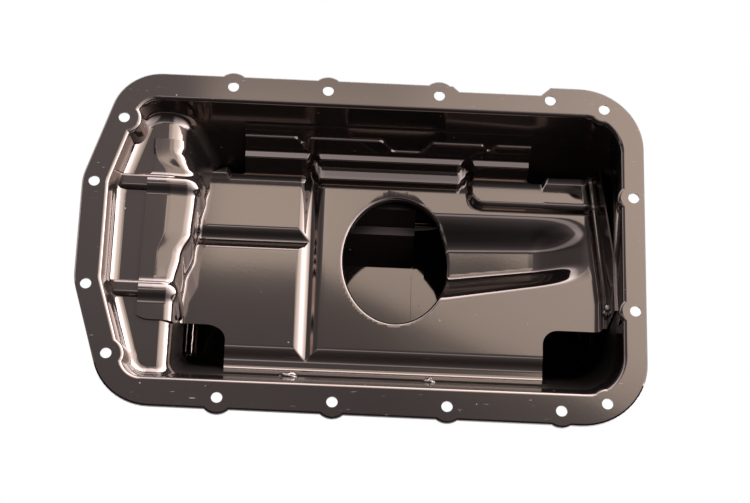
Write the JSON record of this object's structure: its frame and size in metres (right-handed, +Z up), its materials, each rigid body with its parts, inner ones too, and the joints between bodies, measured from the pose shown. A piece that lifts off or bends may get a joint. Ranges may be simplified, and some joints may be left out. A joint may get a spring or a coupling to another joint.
{
  "type": "engine oil pan",
  "caption": "Pressed steel engine oil pan with a stepped deep sump, a welded windage baffle with an oval suction hole, and a drain plug.",
  "frame": {"origin": "middle of the bounding box, at the base: the underside of the sump floor that the pan stands on", "axes": "+X along the pan to its deep end, +Y across it to the side with the stepped-in flange edge, +Z up out of the flange's face, to the engine"},
  "size_m": [0.4298, 0.2778, 0.1495],
  "materials": {
    "painted_sheet": "satin black paint on steel sheet",
    "painted_baffle": "satin black paint on steel sheet",
    "painted_fitting": "satin black paint on steel",
    "washer_metal": "soft metal, matte",
    "plug_steel": "zinc-plated steel"
  },
  "bodies": {
    "root": {"pan_shell": "painted_sheet", "baffle_plate": "painted_baffle", "drain_nut": "painted_fitting", "drain_washer": "washer_metal", "drain_plug": "plug_steel"}
  },
  "joints": []
}
